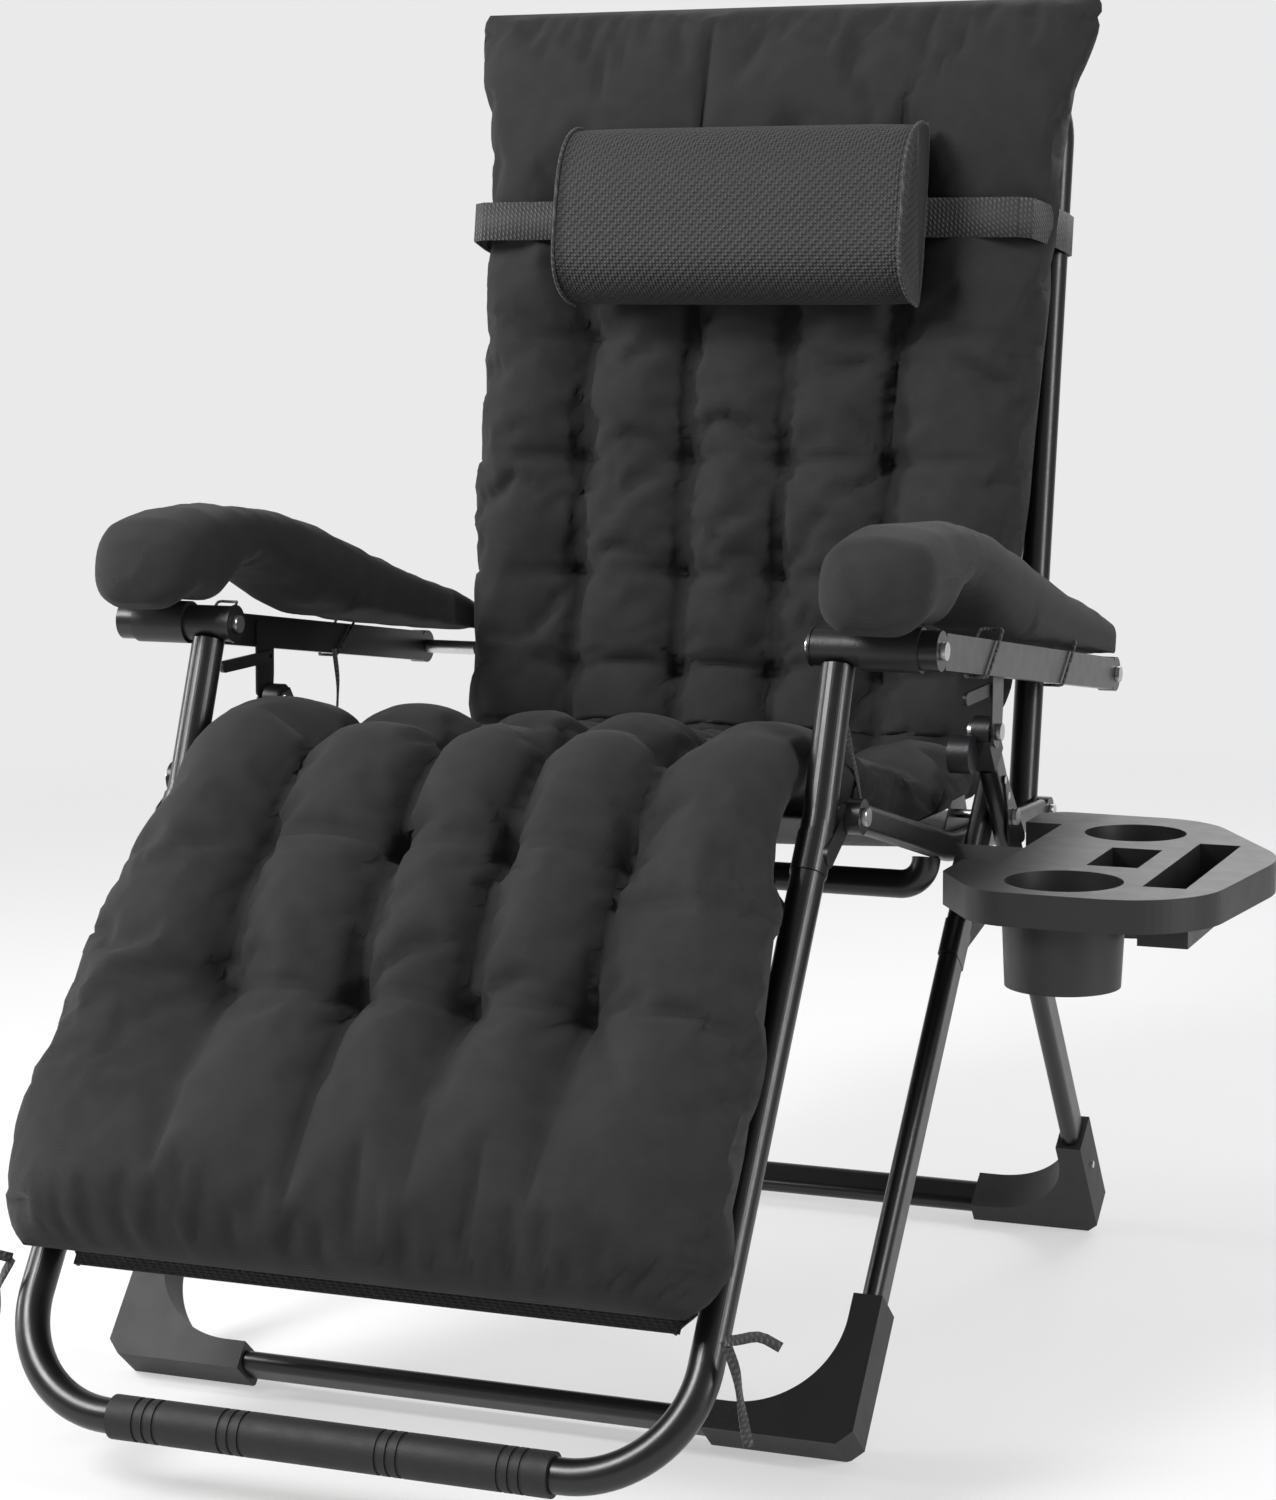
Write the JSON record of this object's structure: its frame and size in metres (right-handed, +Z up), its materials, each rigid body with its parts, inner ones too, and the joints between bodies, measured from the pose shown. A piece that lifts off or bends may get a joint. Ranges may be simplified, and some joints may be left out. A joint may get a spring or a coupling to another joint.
{
  "type": "zero gravity recliner",
  "caption": "Folding zero gravity recliner: scissor-leg steel frame, locking armrests, tufted lounger cushion, mesh head pillow and side tray with cup holes",
  "frame": {"origin": "on the floor, under the middle of the whole chair's box with the tray on", "axes": "+X to the occupant's left (the tray's side), -Y to the front (the footrest), +Z up"},
  "size_m": [0.9806, 1.09, 1.2165],
  "materials": {
    "powder_coat": "satin black powder coat",
    "rail_coat": "satin black powder coat over pressed steel",
    "bolt_steel": "zinc plated",
    "foot_plastic": "grained",
    "joint_plastic": "satin moulded",
    "tray_plastic": "semi-matte moulded",
    "lounger_cloth": "brushed polyester weave",
    "sling_cloth": "coated mesh",
    "pillow_cloth": "coated mesh",
    "strap_webbing": "herringbone webbing",
    "pad_cloth": "brushed polyester weave",
    "grip_rubber": "ribbed foam rubber"
  },
  "bodies": {
    "front_legs": {"front_leg_left": "powder_coat", "front_leg_right": "powder_coat", "front_floor_bar": "powder_coat", "front_foot_left": "foot_plastic", "front_foot_right": "foot_plastic", "brace_clamps": "powder_coat"},
    "rear_legs": {"rear_leg_left": "powder_coat", "rear_leg_right": "powder_coat", "rear_floor_bar": "powder_coat", "rear_foot_left": "foot_plastic", "rear_foot_right": "foot_plastic", "scissor_plate_left": "powder_coat", "scissor_plate_right": "powder_coat", "leg_head_left": "joint_plastic", "leg_head_right": "joint_plastic", "leg_rivets": "bolt_steel"},
    "braces": {"leg_brace_left": "powder_coat", "leg_brace_right": "powder_coat"},
    "seat": {"seat_pivot_bolts": "bolt_steel", "seat_rail_left": "powder_coat", "seat_rail_right": "powder_coat", "seat_pivot_plates": "powder_coat", "seat_crossbar": "powder_coat", "seat_sling": "sling_cloth", "cushion_seat": "lounger_cloth", "cushion_knee": "lounger_cloth", "cushion_lumbar": "lounger_cloth"},
    "footrest": {"footrest_pivot_bolts": "bolt_steel", "footrest_tube_left": "powder_coat", "footrest_tube_right": "powder_coat", "foot_bar": "powder_coat", "foot_grip": "grip_rubber", "footrest_brackets": "powder_coat", "front_tees": "joint_plastic", "footrest_sling": "sling_cloth", "cushion_legs": "lounger_cloth"},
    "backrest": {"backrest_pivot_bolts": "bolt_steel", "back_tube_left": "powder_coat", "back_tube_right": "powder_coat", "back_top_bar": "powder_coat", "back_sling": "sling_cloth", "cushion_back": "lounger_cloth", "webbing_strap": "strap_webbing", "armrest_rear_pins": "bolt_steel"},
    "pillow": {"head_pillow": "pillow_cloth"},
    "armrests": {"armrest_front_bolts": "bolt_steel", "armrest_rail_left": "rail_coat", "armrest_rail_right": "rail_coat", "armrest_pad_left": "pad_cloth", "armrest_pad_right": "pad_cloth", "armrest_hub_left": "joint_plastic", "armrest_hub_right": "joint_plastic"},
    "lock_plates": {"lock_bolts": "bolt_steel", "lock_plate_left": "rail_coat", "lock_plate_right": "rail_coat"},
    "lever_left": {"lock_lever_left": "joint_plastic"},
    "lever_right": {"lock_lever_right": "joint_plastic"},
    "tray_body": {"tray": "tray_plastic"}
  },
  "joints": [
    {"name": "leg_fold", "type": "hinge", "parent": "front_legs", "child": "rear_legs", "pos_m": [-0.1115, 0.12794, 0.47], "axis": [-1, 0, 0], "range_deg": [0, 20]},
    {"name": "brace_turn", "type": "hinge", "parent": "front_legs", "child": "braces", "pos_m": [-0.1115, 0.06272, 0.34916], "axis": [-1, 0, 0], "range_deg": [0, 5.8]},
    {"name": "recline", "type": "hinge", "parent": "rear_legs", "child": "seat", "pos_m": [-0.1115, 0.12794, 0.47], "axis": [-1, 0, 0], "range_deg": [0, 22]},
    {"name": "footrest_recline", "type": "hinge", "parent": "seat", "child": "footrest", "pos_m": [-0.1115, -0.18206, 0.51557], "axis": [-1, 0, 0], "range_deg": [0, 37.4], "deforming": ["cushion_knee"]},
    {"name": "backrest_recline", "type": "hinge", "parent": "seat", "child": "backrest", "pos_m": [-0.1115, 0.40294, 0.42957], "axis": [-1, 0, 0], "range_deg": [0, 37.4], "deforming": ["cushion_lumbar"]},
    {"name": "armrest_recline", "type": "hinge", "parent": "footrest", "child": "armrests", "pos_m": [-0.1115, -0.15867, 0.64957], "axis": [1, 0, 0], "range_deg": [0, 37.4]},
    {"name": "lock_recline", "type": "hinge", "parent": "rear_legs", "child": "lock_plates", "pos_m": [-0.1115, 0.06515, 0.55416], "axis": [-1, 0, 0], "range_deg": [0, 22]},
    {"name": "lever_left_turn", "type": "hinge", "parent": "lock_plates", "child": "lever_left", "pos_m": [-0.1115, 0.06915, 0.59267], "axis": [1, 0, 0], "range_deg": [0, 12]},
    {"name": "lever_right_turn", "type": "hinge", "parent": "lock_plates", "child": "lever_right", "pos_m": [-0.1115, 0.06915, 0.59267], "axis": [1, 0, 0], "range_deg": [0, 12]},
    {"name": "pillow_slide", "type": "slide", "parent": "backrest", "child": "pillow", "axis": [0, 0.1719, 0.9851], "range_m": [-0.06, 0.04]},
    {"name": "tray_slide", "type": "slide", "parent": "front_legs", "child": "tray_body", "axis": [1, 0, 0], "range_m": [0, 0.12]}
  ],
  "couplings": [
    {"joint": "brace_turn", "follows": "leg_fold", "ratio": 0.29},
    {"joint": "footrest_recline", "follows": "recline", "ratio": 1.7},
    {"joint": "backrest_recline", "follows": "recline", "ratio": 1.7},
    {"joint": "armrest_recline", "follows": "recline", "ratio": 1.7},
    {"joint": "lock_recline", "follows": "recline", "ratio": 1}
  ]
}
